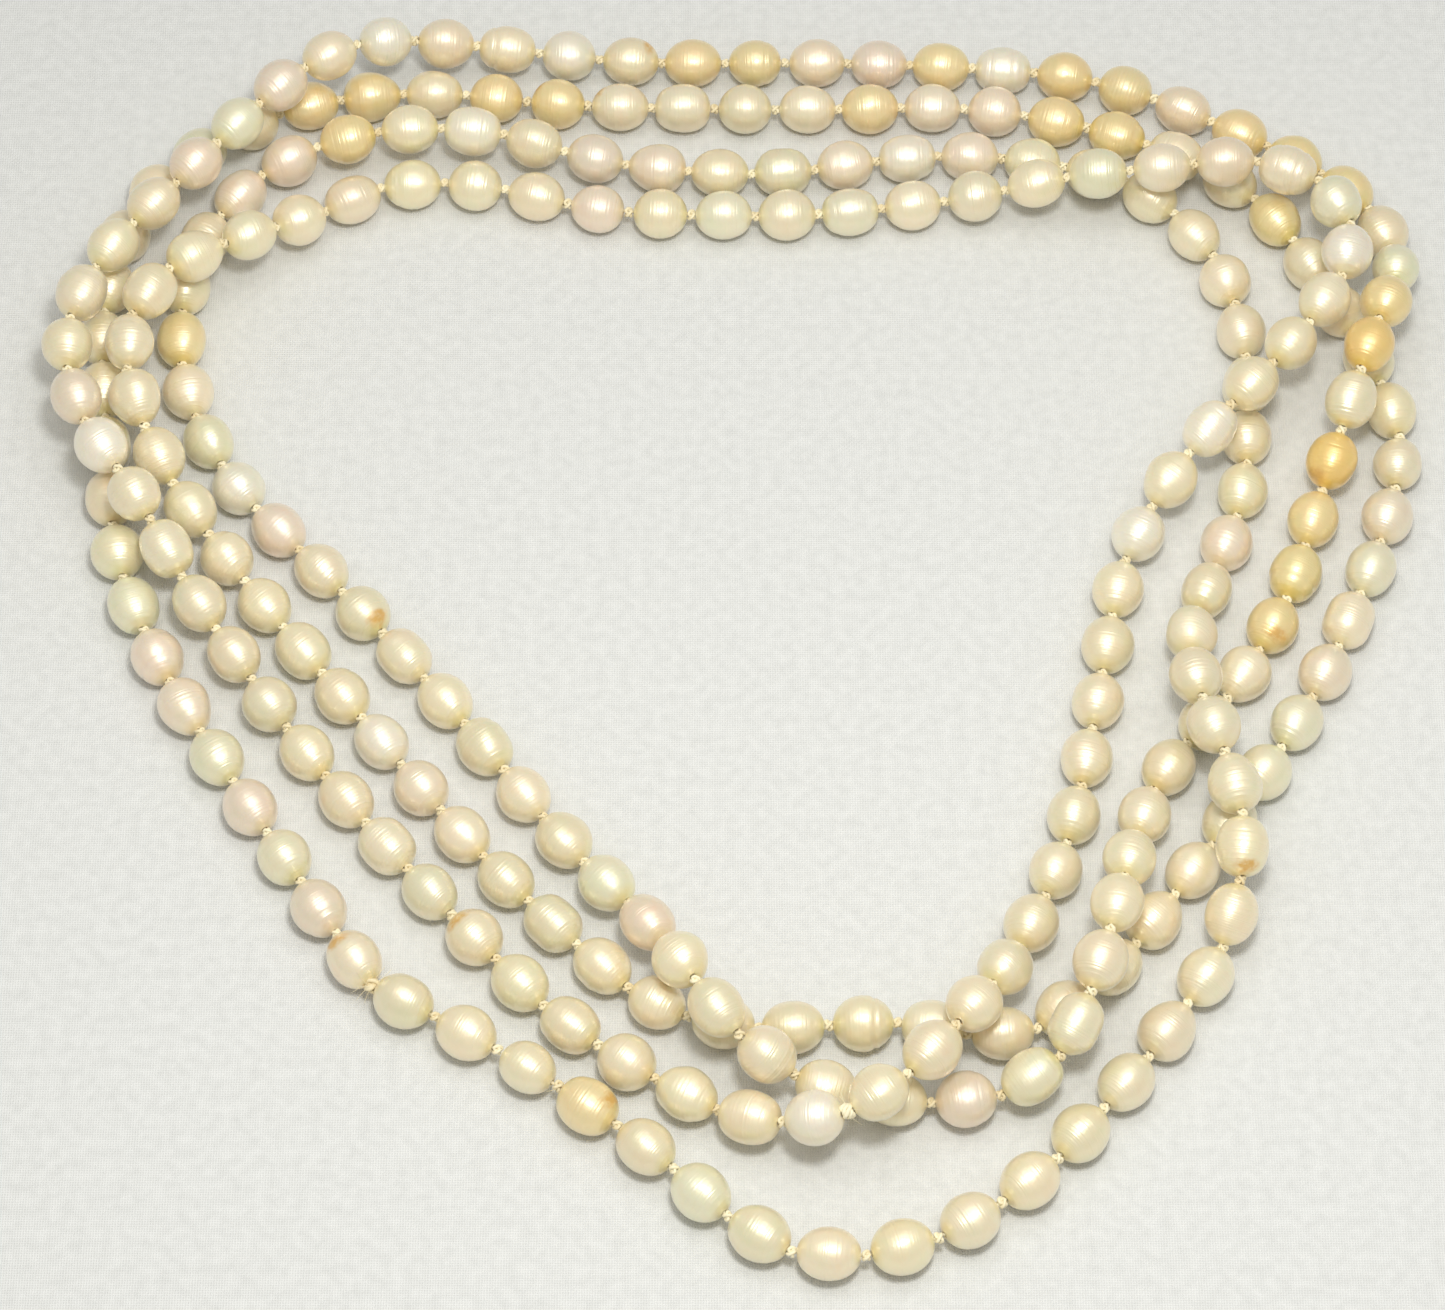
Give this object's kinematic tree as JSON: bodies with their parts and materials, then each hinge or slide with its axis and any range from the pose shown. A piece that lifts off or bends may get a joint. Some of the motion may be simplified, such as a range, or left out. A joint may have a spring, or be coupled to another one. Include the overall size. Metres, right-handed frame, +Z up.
{
  "type": "pearl necklace",
  "caption": "Long endless rope of off-round cream freshwater pearls, knotted on silk one by one and laid flat in four turns",
  "frame": {"origin": "centre of the laid necklace's footprint, on the table it lies on", "axes": "+Z up from the table, +Y towards the far side of the laid loop (its straight top rows), +X to the right"},
  "size_m": [0.17, 0.1753, 0.0134],
  "materials": {
    "pearl_nacre": "lustrous nacre, soft satin gloss",
    "silk": "twisted cream silk beading cord"
  },
  "bodies": {
    "laid_rope": {"closing_knot": "silk", "thick_knot": "silk", "turn_1_bottom_pearls": "pearl_nacre", "turn_1_knots": "silk", "turn_1_left_pearls": "pearl_nacre", "turn_1_right_pearls": "pearl_nacre", "turn_1_silk": "silk", "turn_1_top_pearls": "pearl_nacre", "turn_2_bottom_pearls": "pearl_nacre", "turn_2_knots": "silk", "turn_2_left_pearls": "pearl_nacre", "turn_2_right_pearls": "pearl_nacre", "turn_2_silk": "silk", "turn_2_top_pearls": "pearl_nacre", "turn_3_bottom_pearls": "pearl_nacre", "turn_3_knots": "silk", "turn_3_left_pearls": "pearl_nacre", "turn_3_right_pearls": "pearl_nacre", "turn_3_silk": "silk", "turn_3_top_pearls": "pearl_nacre", "turn_4_knots": "silk", "turn_4_left_pearls": "pearl_nacre", "turn_4_right_pearls": "pearl_nacre", "turn_4_silk": "silk", "turn_4_top_pearls": "pearl_nacre"},
    "link_01": {"free_link_01": "silk"},
    "pearl_01": {"free_pearl_01": "pearl_nacre"},
    "link_02": {"free_link_02": "silk"},
    "pearl_02": {"free_pearl_02": "pearl_nacre"},
    "link_03": {"free_link_03": "silk"},
    "pearl_03": {"free_pearl_03": "pearl_nacre"},
    "link_04": {"free_link_04": "silk"},
    "pearl_04": {"free_pearl_04": "pearl_nacre"},
    "link_05": {"free_link_05": "silk"},
    "pearl_05": {"free_pearl_05": "pearl_nacre"},
    "link_06": {"free_link_06": "silk"},
    "pearl_06": {"free_pearl_06": "pearl_nacre"},
    "link_07": {"free_link_07": "silk"},
    "pearl_07": {"free_pearl_07": "pearl_nacre"},
    "link_08": {"free_link_08": "silk"},
    "pearl_08": {"free_pearl_08": "pearl_nacre"},
    "link_09": {"free_link_09": "silk"},
    "pearl_09": {"free_pearl_09": "pearl_nacre"},
    "link_10": {"free_link_10": "silk"},
    "pearl_10": {"free_pearl_10": "pearl_nacre"},
    "link_11": {"free_link_11": "silk"},
    "pearl_11": {"free_pearl_11": "pearl_nacre"},
    "link_12": {"free_link_12": "silk"},
    "pearl_12": {"free_pearl_12": "pearl_nacre"},
    "link_13": {"free_link_13": "silk"},
    "pearl_13": {"free_pearl_13": "pearl_nacre"},
    "link_14": {"free_link_14": "silk"},
    "pearl_14": {"free_pearl_14": "pearl_nacre"}
  },
  "joints": [
    {"name": "knot_01_bend", "type": "hinge", "parent": "laid_rope", "child": "link_01", "pos_m": [0.0512, -0.0534, 0.00323], "axis": [0, 0, 1], "range_deg": [0, 20]},
    {"name": "pearl_01_spin", "type": "hinge", "parent": "link_01", "child": "pearl_01", "pos_m": [0.04879, -0.05681, 0.00323], "axis": [-0.5772, -0.8166, 0], "continuous": true},
    {"name": "knot_02_bend", "type": "hinge", "parent": "link_01", "child": "link_02", "pos_m": [0.04638, -0.06022, 0.00323], "axis": [0, 0, 1], "range_deg": [0, 20]},
    {"name": "pearl_02_spin", "type": "hinge", "parent": "link_02", "child": "pearl_02", "pos_m": [0.04375, -0.06346, 0.00323], "axis": [-0.6304, -0.7763, 0], "continuous": true},
    {"name": "knot_03_bend", "type": "hinge", "parent": "link_02", "child": "link_03", "pos_m": [0.04112, -0.0667, 0.00323], "axis": [0, 0, 1], "range_deg": [0, 20]},
    {"name": "pearl_03_spin", "type": "hinge", "parent": "link_03", "child": "pearl_03", "pos_m": [0.03838, -0.06984, 0.00323], "axis": [-0.6571, -0.7538, 0], "continuous": true},
    {"name": "knot_04_bend", "type": "hinge", "parent": "link_03", "child": "link_04", "pos_m": [0.03563, -0.07299, 0.00323], "axis": [0, 0, 1], "range_deg": [0, 20]},
    {"name": "pearl_04_spin", "type": "hinge", "parent": "link_04", "child": "pearl_04", "pos_m": [0.03245, -0.07569, 0.00323], "axis": [-0.7627, -0.6467, 0], "continuous": true},
    {"name": "knot_05_bend", "type": "hinge", "parent": "link_04", "child": "link_05", "pos_m": [0.02927, -0.07838, 0.00323], "axis": [0, 0, 1], "range_deg": [0, 20]},
    {"name": "pearl_05_spin", "type": "hinge", "parent": "link_05", "child": "pearl_05", "pos_m": [0.0257, -0.08054, 0.00323], "axis": [-0.8564, -0.5164, 0], "continuous": true},
    {"name": "knot_06_bend", "type": "hinge", "parent": "link_05", "child": "link_06", "pos_m": [0.02213, -0.08269, 0.00323], "axis": [0, 0, 1], "range_deg": [0, 20]},
    {"name": "pearl_06_spin", "type": "hinge", "parent": "link_06", "child": "pearl_06", "pos_m": [0.01812, -0.08377, 0.00323], "axis": [-0.9656, -0.2602, 0], "continuous": true},
    {"name": "knot_07_bend", "type": "hinge", "parent": "link_06", "child": "link_07", "pos_m": [0.0141, -0.08485, 0.00323], "axis": [0, 0, 1], "range_deg": [0, 20]},
    {"name": "pearl_07_spin", "type": "hinge", "parent": "link_07", "child": "pearl_07", "pos_m": [0.00997, -0.08463, 0.00323], "axis": [-0.9985, 0.0546, 0], "continuous": true},
    {"name": "knot_08_bend", "type": "hinge", "parent": "link_07", "child": "link_08", "pos_m": [0.00583, -0.0844, 0.00323], "axis": [0, 0, 1], "range_deg": [0, 20]},
    {"name": "pearl_08_spin", "type": "hinge", "parent": "link_08", "child": "pearl_08", "pos_m": [0.00231, -0.08223, 0.00323], "axis": [-0.8514, 0.5245, 0], "continuous": true},
    {"name": "knot_09_bend", "type": "hinge", "parent": "link_08", "child": "link_09", "pos_m": [-0.0012, -0.08007, 0.00323], "axis": [0, 0, 1], "range_deg": [0, 20]},
    {"name": "pearl_09_spin", "type": "hinge", "parent": "link_09", "child": "pearl_09", "pos_m": [-0.0042, -0.07716, 0.00323], "axis": [-0.7179, 0.6962, 0], "continuous": true},
    {"name": "knot_10_bend", "type": "hinge", "parent": "link_09", "child": "link_10", "pos_m": [-0.0072, -0.07426, 0.00323], "axis": [0, 0, 1], "range_deg": [0, 20]},
    {"name": "pearl_10_spin", "type": "hinge", "parent": "link_10", "child": "pearl_10", "pos_m": [-0.01038, -0.07156, 0.00323], "axis": [-0.7632, 0.6461, 0], "continuous": true},
    {"name": "knot_11_bend", "type": "hinge", "parent": "link_10", "child": "link_11", "pos_m": [-0.01357, -0.06886, 0.00323], "axis": [0, 0, 1], "range_deg": [0, 20]},
    {"name": "pearl_11_spin", "type": "hinge", "parent": "link_11", "child": "pearl_11", "pos_m": [-0.01695, -0.06641, 0.00323], "axis": [-0.8094, 0.5872, 0], "continuous": true},
    {"name": "knot_12_bend", "type": "hinge", "parent": "link_11", "child": "link_12", "pos_m": [-0.02032, -0.06396, 0.00323], "axis": [0, 0, 1], "range_deg": [0, 20]},
    {"name": "pearl_12_spin", "type": "hinge", "parent": "link_12", "child": "pearl_12", "pos_m": [-0.0238, -0.06165, 0.00323], "axis": [-0.833, 0.5533, 0], "continuous": true},
    {"name": "knot_13_bend", "type": "hinge", "parent": "link_12", "child": "link_13", "pos_m": [-0.02728, -0.05934, 0.00323], "axis": [0, 0, 1], "range_deg": [0, 20]},
    {"name": "pearl_13_spin", "type": "hinge", "parent": "link_13", "child": "pearl_13", "pos_m": [-0.03088, -0.05724, 0.00323], "axis": [-0.8636, 0.5041, 0], "continuous": true},
    {"name": "knot_14_bend", "type": "hinge", "parent": "link_13", "child": "link_14", "pos_m": [-0.03449, -0.05513, 0.00323], "axis": [0, 0, 1], "range_deg": [0, 20]},
    {"name": "pearl_14_spin", "type": "hinge", "parent": "link_14", "child": "pearl_14", "pos_m": [-0.03814, -0.05312, 0.00323], "axis": [-0.8756, 0.4831, 0], "continuous": true}
  ]
}
